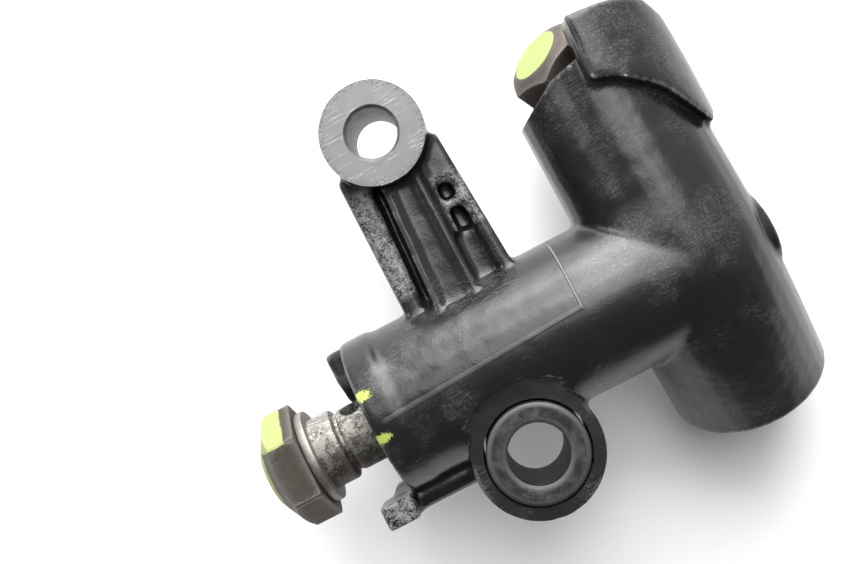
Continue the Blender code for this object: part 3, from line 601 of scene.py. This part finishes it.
# black paint: orange peel over the cast grain, scuffs and a painted highlight on the crests, bare metal on
# the edges
edges = spot.wear()
height = spot.axis(2)
along_x, along_y = spot.axis(0), spot.axis(1)
peel = spot.grain(2.6, 1, 0.4)
cast_grain = spot.grain(0.35, 3, 0.6)
blotches = spot.grain(7, 3, 0.5)
# the crest mask: the casting's highest parts, lighter grey in flecks, partly scuffs and partly a painted
# highlight
crest = height.rise(8.6, 11.0) * blotches.rise(0.45, 0.62)
hair = spot.stretched((0.25, 2.6, 1), 0.5).grain(0.9, 4, 0.7) - 0.5
hairs = abs(hair).rise(0.012, 0.002) * blotches.rise(0.5, 0.62)
specks = spot.grain(0.22, 1, 0.5).rise(0.76, 0.80)
# the casting die's joint: across the tube, then along its crest; its lighter colour is a painted highlight
# along the raised seam
SEAM_X = 13.0
seam_along = abs(along_y - 2.2 - 0.05 * (along_x - SEAM_X)).rise(0.42, 0.12)
seam_along = seam_along * along_x.rise(-15.6, -14.6) * along_x.rise(SEAM_X + 0.4, SEAM_X - 0.1)
seam_across = abs(along_x - SEAM_X - 0.03 * along_y).rise(0.20, 0.05)
seam_across = seam_across * along_y.rise(1.6, 2.4) * along_y.rise(12.6, 11.4)
eye_seat = abs(height - EYE_TOP).rise(0.35, 0.15) * spot.off_line(LOWER_EYE_Y).rise(10.2, 9.8)
chipped = (edges + 1.6 * blotches + 0.9 * cast_grain).rise(2.3, 2.5) * (1 - 0.85 * eye_seat)
rubbed = (edges * 0.9 + 0.4 * blotches).rise(0.55, 1.3) * (1 - eye_seat)
scuffs_and_highlight = (hairs * 0.35).greater(crest * cast_grain.rise(0.5, 0.66) * 0.16).greater(specks * 0.3)
# rubbed bare: the lower prong's top, the arm's left flange, and the lips of its two pockets
prong_top = along_x.rise(TUBE_FACE - 0.3, TUBE_FACE - 1.3) * along_y.rise(-8.8, -9.6)
prong_top = prong_top * height.rise(0.9, 1.8)
left_flange = along_x.rise(-3.3, -4.3) * along_y.rise(12.5, 14) * along_y.rise(29, 27)
left_flange = left_flange * height.rise(3.0, 3.6)
pocket_lips = along_x.rise(3.4, 4.0) * along_x.rise(8.0, 7.4) * height.rise(3.4, 3.9)
pocket_lips = pocket_lips * along_y.rise(17.3, 18.0) * along_y.rise(26.0, 25.0)
rough_wear = (spot.grain(0.28, 3, 0.7) + 0.6 * spot.grain(1.1, 3, 0.6)).rise(0.66, 0.98)
bared = prong_top.greater(left_flange * 0.75).greater(pocket_lips * 0.6) * rough_wear
# the elbow's crest is polished dull by handling, in short crossing scratches, and also carries a painted
# highlight
CREST_X, CREST_Y, CREST_LEAN = 20, 6.3, math.radians(20)
from_x, from_y = along_x - CREST_X, along_y - CREST_Y
down_crest = from_x * math.cos(CREST_LEAN) + from_y * math.sin(CREST_LEAN)
off_crest = from_y * math.cos(CREST_LEAN) - from_x * math.sin(CREST_LEAN)
elbow_scuffs_and_highlight = ((down_crest / 9) ** 2 + (off_crest / 3.4) ** 2) ** 0.5
elbow_scuffs_and_highlight = elbow_scuffs_and_highlight.rise(1.2, 0.35) * height.rise(6.5, 8.5)
crossing = spot.stretched((0.8, 2.6, 1), 1.1).grain(0.35, 4, 0.8).rise(0.48, 0.68)
elbow_scuffs_and_highlight = elbow_scuffs_and_highlight * (0.12 + 0.45 * crossing)
# the seam's bump is real; its lighter grey in the colour is a painted highlight
seam_and_highlight = seam_along * 0.12 + seam_across * (0.35 + 0.5 * cast_grain)
# all the lighter marks together: chips, scratches and rubbed edges, with the painted highlights on the
# crests and the seam
wear_and_highlight = chipped.greater(scuffs_and_highlight).greater(seam_and_highlight * height.rise(2, 4)).greater(rubbed * 0.25)
wear_and_highlight = wear_and_highlight.greater(bared).greater(elbow_scuffs_and_highlight)
black = blotches.mix((0.0085, 0.0072, 0.0080), (0.0135, 0.0120, 0.0130))
paint_wear_and_highlight = wear_and_highlight.mix(black, (0.30, 0.29, 0.275))


def fleck(y):
    """A small blotch of the inspection paint on the edge of the tube's end."""
    off = ((along_x - TUBE_FACE) ** 2 * 0.35 + (along_y - y) ** 2) ** 0.5 + (cast_grain - 0.5) * 1.6
    return off.rise(0.75, 0.55) * along_x.rise(-14.3, -14.9) * height.rise(6, 7)


flecks = fleck(4.8).greater(fleck(-1.0))
wire(paint_shader, "Base Color", flecks.mix(paint_wear_and_highlight, (0.36, 0.42, 0.09)))
wire(paint_shader, "Roughness", (0.20 + 0.08 * blotches + 0.28 * wear_and_highlight + 0.10 * crest).lesser(1.0))
relief(paint_shader, peel * 0.45 + cast_grain * 0.10 + seam_and_highlight * 0.9 - chipped * 0.35, 0.20)

# machined aluminium: fine tool marks that circle the upper eye's hole
off_upper = bare_spot.off_line(UPPER_EYE_Y)
marks = bare_spot.node("CombineXYZ", {"X": off_upper * 9, "Y": 0.0, "Z": bare_spot.axis(2) * 5})
rings = marks.grain(1.0, 3, 0.7)
dull = bare_spot.grain(2.2, 4, 0.65)
filed = bare_spot.stretched((0.22, 3.6, 1), -0.18).grain(0.8, 4, 0.7)
filed = filed.rise(0.50, 0.72) * bare_spot.grain(3.0, 2, 0.5).rise(0.42, 0.58)
burnt = (off_upper + (dull - 0.5) * 1.5).rise(5.6, 6.6) * bare_spot.grain(0.35, 2, 0.6).rise(0.5, 0.6)
bare_metal = dull.mix((0.150, 0.150, 0.150), (0.255, 0.255, 0.258))
bare_metal = (filed * 0.8).mix(bare_metal, (0.45, 0.45, 0.455))
wire(bare_shader, "Base Color", (burnt * 0.55).mix(bare_metal, (0.06, 0.06, 0.062)))
wire(bare_shader, "Roughness", 0.42 + 0.2 * dull + 0.1 * rings)
relief(bare_shader, rings * 0.6 + dull * 0.3 + filed * 0.5, 0.05)


# ---------------------------------------------------------------- pressed sleeve and gallery plug
# The lower eye is lined with a plain steel sleeve, turned and pressed in a little proud; a small
# steel plug closes the drilled gallery at the tube's far end.

steel, steel_shader, steel_spot = finish_of("dark_sleeve_steel", Metallic=1.0)
SLEEVE_HIGH, EDGE = 8.9, 0.5
OUTER, INNER = 6.6, 3.9
sleeve = lathed([
    (OUTER - 0.5, SLEEVE_HIGH), (OUTER - 0.15, SLEEVE_HIGH - 0.12), (OUTER, SLEEVE_HIGH - EDGE),
    (OUTER, SLEEVE_LOW + EDGE), (OUTER - 0.15, SLEEVE_LOW + 0.12), (OUTER - 0.5, SLEEVE_LOW),
    (INNER + 0.5, SLEEVE_LOW), (INNER + 0.12, SLEEVE_LOW + 0.15), (INNER, SLEEVE_LOW + EDGE),
    (INNER, SLEEVE_HIGH - EDGE), (INNER + 0.12, SLEEVE_HIGH - 0.15), (INNER + 0.5, SLEEVE_HIGH),
], LOWER_EYE)
sleeve.materials.append(steel)
edge_wear(sleeve)
shown("pressed_sleeve", sleeve, "base", "sleeve_steel", "lower_mount_sleeve")

plug = lathed([
    (0, 2.9), (0.9, 2.9), (1.1, 3.2), (2.1, 3.2), (2.45, 3.05), (2.6, 2.7), (2.6, 0.4), (2.2, 0), (0, 0),
], (PLUG_FACE - 3.2 + 0.3, 0, 0), (1, 0, 0), 48)
plug.materials.append(steel)
edge_wear(plug)
shown("pressed_plug", plug, "base", "bolt_steel", "gallery_plug")

off_lower = steel_spot.off_line(LOWER_EYE_Y)
turning = steel_spot.node("CombineXYZ", {"X": off_lower * 7, "Y": 0.0, "Z": steel_spot.axis(2) * 4})
turning = turning.grain(1.0, 3, 0.7)
stain = steel_spot.grain(1.9, 4, 0.65)
pits = steel_spot.grain(0.3, 2, 0.6)
steel_edge = steel_spot.wear()
brightness = (stain.rise(0.38, 0.66) * 0.6 + steel_edge * 0.5).lesser(1.0)
brightness = brightness.greater(steel_edge.rise(0.15, 0.45) * 0.9)
wire(steel_shader, "Base Color", brightness.mix((0.034, 0.032, 0.032), (0.120, 0.116, 0.112)))
wire(steel_shader, "Roughness", 0.40 + 0.18 * stain + 0.12 * turning)
relief(steel_shader, turning * 0.9 + pits * 0.4, 0.06)


# ---------------------------------------------------------------- banjo bolts
# Two hollow hexagon-head bolts of plated steel gone brown with age, turned and thread-rolled; the
# fitter's yellow-green inspection paint is daubed over their heads.

bolt_look, bolt_shader, bolt_spot = finish_of("aged_bolt_steel", Metallic=0.85)
PITCH, RIDGE = 1.25, 0.62
HEAD_ROLL, END_RADIUS = math.radians(30), 3.75


def helix_tree():
    """Geometry Nodes for a wire wound into a helix along Z."""
    tree = bpy.data.node_groups.new("helix", "GeometryNodeTree")
    sockets = {}
    for name, kind in (("Radius", "NodeSocketFloat"), ("Height", "NodeSocketFloat"),
                       ("Turns", "NodeSocketFloat"), ("Wire", "NodeSocketFloat"),
                       ("Sides", "NodeSocketInt"), ("Steps", "NodeSocketInt"),
                       ("Material", "NodeSocketMaterial")):
        sockets[name] = tree.interface.new_socket(name, in_out="INPUT", socket_type=kind).identifier
    tree.interface.new_socket("Geometry", in_out="OUTPUT", socket_type="NodeSocketGeometry")
    given = tree.nodes.new("NodeGroupInput")
    spiral = tree.nodes.new("GeometryNodeCurveSpiral")
    section = tree.nodes.new("GeometryNodeCurvePrimitiveCircle")
    sweep = tree.nodes.new("GeometryNodeCurveToMesh")
    real = tree.nodes.new("GeometryNodeRealizeInstances")
    coat = tree.nodes.new("GeometryNodeSetMaterial")
    done = tree.nodes.new("NodeGroupOutput")
    links = tree.links
    links.new(given.outputs["Radius"], spiral.inputs["Start Radius"])
    links.new(given.outputs["Radius"], spiral.inputs["End Radius"])
    links.new(given.outputs["Height"], spiral.inputs["Height"])
    links.new(given.outputs["Turns"], spiral.inputs["Rotations"])
    links.new(given.outputs["Steps"], spiral.inputs["Resolution"])
    links.new(given.outputs["Wire"], section.inputs["Radius"])
    links.new(given.outputs["Sides"], section.inputs["Resolution"])
    links.new(spiral.outputs["Curve"], sweep.inputs["Curve"])
    links.new(section.outputs["Curve"], sweep.inputs["Profile Curve"])
    sweep.inputs["Fill Caps"].default_value = True
    links.new(sweep.outputs["Mesh"], real.inputs["Geometry"])
    links.new(real.outputs["Geometry"], coat.inputs["Geometry"])
    links.new(given.outputs["Material"], coat.inputs["Material"])
    links.new(coat.outputs["Geometry"], done.inputs[0])
    return tree, sockets


helix, helix_inputs = helix_tree()


def wound(finish, origin, axis, radius, length, turns, thick):
    """A helix of wire as a mesh, from origin along axis, right-handed."""
    holder = bench_object("winding", bpy.data.meshes.new("winding"))
    modifier = holder.modifiers.new("helix", "NODES")
    modifier.node_group = helix
    given = {"Radius": radius, "Height": length, "Turns": turns, "Wire": thick, "Sides": 4,
             "Steps": 40, "Material": finish}
    for name, value in given.items():
        modifier[helix_inputs[name]] = value
    mesh = settled(holder)
    shape = bmesh.new()
    shape.from_mesh(mesh)
    # the primitive winds the other way, so it is mirrored and its faces are turned back out
    bmesh.ops.transform(shape, matrix=Matrix.Scale(-1, 4, (1, 0, 0)), verts=shape.verts)
    bmesh.ops.recalc_face_normals(shape, faces=shape.faces)
    shape.transform(along(origin, axis))
    shape.to_mesh(mesh)
    shape.free()
    return mesh


def hexagon_bolt(origin, axis, flats, tall, shank, thread):
    """A bolt whose head's underside is at origin. Thread is (start, length, radius) down the shank."""
    corner_radius = flats / math.sqrt(3)
    shape = bmesh.new()
    lift = Matrix.Translation((0, 0, tall / 2)) @ Matrix.Rotation(HEAD_ROLL, 4, "Z")
    bmesh.ops.create_cone(shape, cap_ends=True, segments=6, radius1=corner_radius,
                          radius2=corner_radius, depth=tall, matrix=lift)
    upright = [edge for edge in shape.edges if abs(edge.verts[0].co.z - edge.verts[1].co.z) > 1]
    bmesh.ops.bevel(shape, geom=upright, offset=0.16, segments=3, affect="EDGES")
    outer = corner_radius + 0.6
    drop = (outer - END_RADIUS) * math.tan(math.radians(30))
    cone = lathed([
        (0, tall), (END_RADIUS - 0.15, tall), (END_RADIUS + 0.12, tall - 0.08), (outer, tall - drop),
        (outer, 0.35), (corner_radius - 0.35, 0), (0, 0),
    ])
    head = carved(mesh_of(shape, "head"), cone, operation="INTERSECT")
    mesh = carved(head, lathed(shank, steps=72), operation="UNION")
    start, length, radius = thread
    winding = wound(bolt_look, (0, 0, start - length), (0, 0, 1), radius - RIDGE, length,
                    length / PITCH, RIDGE)
    whole = joined([mesh, winding])
    whole.transform(along(origin, axis))
    whole.materials.clear()
    whole.materials.append(bolt_look)
    return whole


FRONT_HEAD, FRONT_TALL = Vector((TUBE_FACE - 10.6, 0, 0)), 6.2
front = hexagon_bolt(FRONT_HEAD, (-1, 0, 0), 14.0, FRONT_TALL, [
    (0, 1), (4.7, 1), (4.7, 0), (4.7, -0.5), (4.9, -0.7), (4.9, -4.2), (4.75, -4.45), (4.45, -4.6),
    (4.05, -4.75), (4.0, -5.1), (4.2, -5.35), (4.3, -5.6), (4.3, -11.2), (4.4, -11.6), (4.4, -18.5),
    (3.95, -19.0), (0, -19.0),
], (-11.9, 6.7, 5.0))
DRILL_RADIUS, CROSS_LEAN = 1.6, math.radians(22)
drill_start = FRONT_HEAD + Vector((7.5, 0, 0))
cross = 7 * Vector((0, math.cos(CROSS_LEAN), math.sin(CROSS_LEAN)))
front = carved(front, drum(DRILL_RADIUS, drill_start, FRONT_HEAD + Vector((20, 0, 0)), 40))
front = carved(front, drum(DRILL_RADIUS, drill_start - cross, drill_start + cross, 40))
front.materials.clear()
front.materials.append(bolt_look)
edge_wear(front)
shown("front_banjo_bolt", front, "front_bolt", "bolt_steel", "banjo_bolt")

PORT_HEAD = REAR_SEAT + 1.6 * REAR
port = hexagon_bolt(PORT_HEAD, REAR, 10.0, 5.0, [
    (0, 1), (3.7, 1), (3.7, -2.2), (3.35, -2.6), (3.35, -9.1), (3.0, -9.5), (0, -9.5),
], (-2.7, 6.4, 4.0))
edge_wear(port)
shown("rear_port_bolt", port, "rear_bolt", "bolt_steel", "port_bolt")

# brown aged plating, brighter on edges, with the paint daubs on both heads
age = bolt_spot.grain(1.7, 4, 0.65)
fine = bolt_spot.grain(0.32, 3, 0.6)
bolt_edge = bolt_spot.wear()
bright = (bolt_edge * 0.7 + fine.rise(0.62, 0.75) * 0.4).lesser(1.0)
tarnish = age.mix((0.055, 0.045, 0.038), (0.105, 0.092, 0.080))
metal = bright.mix(tarnish, (0.22, 0.205, 0.185))
bx, by = bolt_spot.axis(0), bolt_spot.axis(1)
on_shank = bx.rise(FRONT_HEAD.x + 0.1, FRONT_HEAD.x + 0.5) * bx.rise(TUBE_FACE + 22, TUBE_FACE + 20)
# zinc bloom and scratches on the shank; the by term adds more of both on the side toward the lights, a
# painted highlight
zinc_and_highlight = on_shank * (age + 0.5 * fine + by * 0.03).rise(0.66, 0.86)
scrape = bolt_spot.stretched((0.9, 2.4, 2.4), 0.35).grain(0.8, 4, 0.75)
scratches_and_highlight = on_shank * (scrape + by * 0.03).rise(0.64, 0.70)
pitted = fine.rise(0.40, 0.33) * 0.6
metal = zinc_and_highlight.mix(metal, (0.25, 0.245, 0.22))
metal = scratches_and_highlight.mix(metal, (0.55, 0.54, 0.50))
metal = pitted.mix(metal, (0.030, 0.024, 0.020))
head_end = FRONT_HEAD.x - FRONT_TALL
daub_edge = (age - 0.5) * 2.4
on_facet = (by + daub_edge * 0.4).rise(3.7, 3.95)
on_facet = on_facet * (bx + daub_edge * 0.25).rise(head_end + 4.9, head_end + 4.6)
on_end = (bx + daub_edge * 0.3).rise(head_end + 0.9, head_end + 0.6) * (by + daub_edge).rise(-7.2, -6.6)
front_daub = on_facet.greater(on_end) * bx.rise(FRONT_HEAD.x + 1, FRONT_HEAD.x)
to_end = bolt_spot.node("VectorMath", {0: bolt_spot, 1: tuple(PORT_HEAD)}, operation="SUBTRACT")
out = to_end.node("VectorMath", {0: to_end, 1: tuple(REAR)}, 1, operation="DOT_PRODUCT")
span = to_end.node("VectorMath", {0: to_end}, 1, operation="LENGTH")
off_axis = (span ** 2 - out ** 2).greater(0.0) ** 0.5
rear_daub = out.rise(4.6, 4.8) * (off_axis + daub_edge * 0.08).rise(3.75, 3.55)
daub = front_daub.greater(rear_daub)
lime = age.mix((0.24, 0.29, 0.075), (0.31, 0.355, 0.125))
wire(bolt_shader, "Base Color", daub.mix(metal, lime))
wire(bolt_shader, "Metallic", 0.85 * (1 - daub))
wire(bolt_shader, "Roughness", 0.46 + 0.25 * age - 0.05 * bright)
relief(bolt_shader, fine * 0.35 + age * 0.3 + daub * 0.5, 0.08)


# ---------------------------------------------------------------- sealing washers
# Flat rings of soft metal, squeezed once, one under each bolt's head.

crushed, crushed_shader, crushed_spot = finish_of("crushed_washer", Metallic=0.9)
for carrier, origin, axis, shank, node in (
        ("front_washer", FRONT_HEAD + Vector((0.3, 0, 0)), (-1, 0, 0), 4.9, "banjo_washer"),
        ("rear_washer", PORT_HEAD - 0.3 * REAR, REAR, 4.0, "port_washer")):
    hole, rim = shank + 0.03, shank + 1.5
    ring = lathed([(rim - 0.25, 0.27), (rim - 0.06, 0.15), (rim, -0.05), (rim, -0.7), (rim - 0.06, -0.9),
                   (rim - 0.25, -1.0), (hole, -1.0), (hole, 0.27)], origin, axis)
    ring.materials.append(crushed)
    edge_wear(ring)
    shown(carrier + "_ring", ring, carrier, "crush_washer", node)
soiled = crushed_spot.grain(1.3, 4, 0.6)
wire(crushed_shader, "Base Color", soiled.mix((0.16, 0.145, 0.125), (0.36, 0.34, 0.31)))
wire(crushed_shader, "Roughness", 0.35 + 0.3 * soiled)
relief(crushed_shader, soiled, 0.05)


# ---------------------------------------------------------------- piston set, boot and pushrod
# Turned anodised piston with two lip seals, a plated seat and spring behind it, held in the mouth by
# a stop washer and a circlip; the plated pushrod leaves through a moulded rubber boot.

INWARD = -OUTWARD
rubber, rubber_shader, rubber_spot = finish_of("moulded_rubber", IOR=1.5)
plated, plated_shader, plated_spot = finish_of("yellow_plated_steel", Metallic=1.0)
spring_steel, spring_shader, spring_spot = finish_of("bright_spring_steel", Metallic=1.0)
anodised, anodised_shader, anodised_spot = finish_of("anodised_aluminium", Metallic=0.9)

BALL_AT, BALL_RADIUS, ROD = 10.3, 3.8, 2.5
angles = [math.pi * i / 24 for i in range(18)]
ball_end = [(BALL_RADIUS * math.sin(a), BALL_AT + BALL_RADIUS * math.cos(a)) for a in angles]
rod = lathed(ball_end + [
    (ROD, BALL_AT - 3.2), (ROD, 0.4), (ROD - 0.5, 0.1), (ROD - 0.5, -1.3), (ROD, -1.6), (ROD, -2.5),
    (ROD - 0.15, -2.85), (ROD - 0.5, -3.0), (0, -3.0),
], MOUTH, INWARD, 64)
rod.materials.append(plated)
shown("turned_pushrod", rod, "pushrod", "plated_steel", "pushrod")

BEAD = 8.2
boot = lathed([
    (BEAD - 0.2, 4.3), (BEAD, 4.1), (BEAD, 1.8), (BEAD - 0.15, 1.5), (BEAD - 0.8, 0.8), (BEAD - 1.3, 0.95),
    (BEAD - 1.8, 1.4), (BEAD - 2.3, 1.25), (BEAD - 3.0, 0.4), (BEAD - 3.5, -0.4), (BEAD - 4.2, -1.1),
    (BEAD - 4.8, -1.25), (2.8, -1.2), (2.3, -1.0), (2.3, -0.2), (2.8, 0.0), (BEAD - 4.0, 0.2),
    (BEAD - 3.4, 0.9), (BEAD - 2.9, 1.6), (BEAD - 2.2, 2.4), (BEAD - 1.6, 4.3),
], MOUTH, INWARD, 72)
boot.materials.append(rubber)
shown("moulded_boot", boot, "base", "rubber", "dust_boot")

finishes = {"rubber": rubber, "plated_steel": plated, "bright_steel": spring_steel,
            "anodised_aluminium": anodised}
slots = {entry["node"]: entry["material_slot"] for entry in frame["record"]["subparts"]}
for node, carried in frame["nodes"].items():
    if not carried.hide_render:
        carried.data.materials.clear()
        carried.data.materials.append(finishes[slots[node]])

bloom = rubber_spot.grain(1.1, 4, 0.6)
wire(rubber_shader, "Base Color", bloom.mix((0.010, 0.010, 0.011), (0.026, 0.025, 0.024)))
wire(rubber_shader, "Roughness", 0.55 + 0.25 * bloom)
relief(rubber_shader, rubber_spot.grain(0.25, 2, 0.5), 0.04)
film = plated_spot.grain(1.6, 4, 0.6)
wire(plated_shader, "Base Color", film.mix((0.44, 0.38, 0.24), (0.60, 0.57, 0.44)))
wire(plated_shader, "Roughness", 0.24 + 0.22 * film)
relief(plated_shader, plated_spot.grain(0.2, 3, 0.6), 0.03)
drawn = spring_spot.grain(0.8, 3, 0.6)
wire(spring_shader, "Base Color", drawn.mix((0.46, 0.46, 0.47), (0.64, 0.64, 0.65)))
wire(spring_shader, "Roughness", 0.2 + 0.2 * drawn)
relief(spring_shader, spring_spot.grain(0.15, 2, 0.5), 0.02)
matt = anodised_spot.grain(0.9, 3, 0.6)
wire(anodised_shader, "Base Color", matt.mix((0.40, 0.35, 0.26), (0.52, 0.47, 0.38)))
wire(anodised_shader, "Roughness", 0.32 + 0.14 * matt)
relief(anodised_shader, anodised_spot.grain(0.12, 2, 0.5), 0.02)
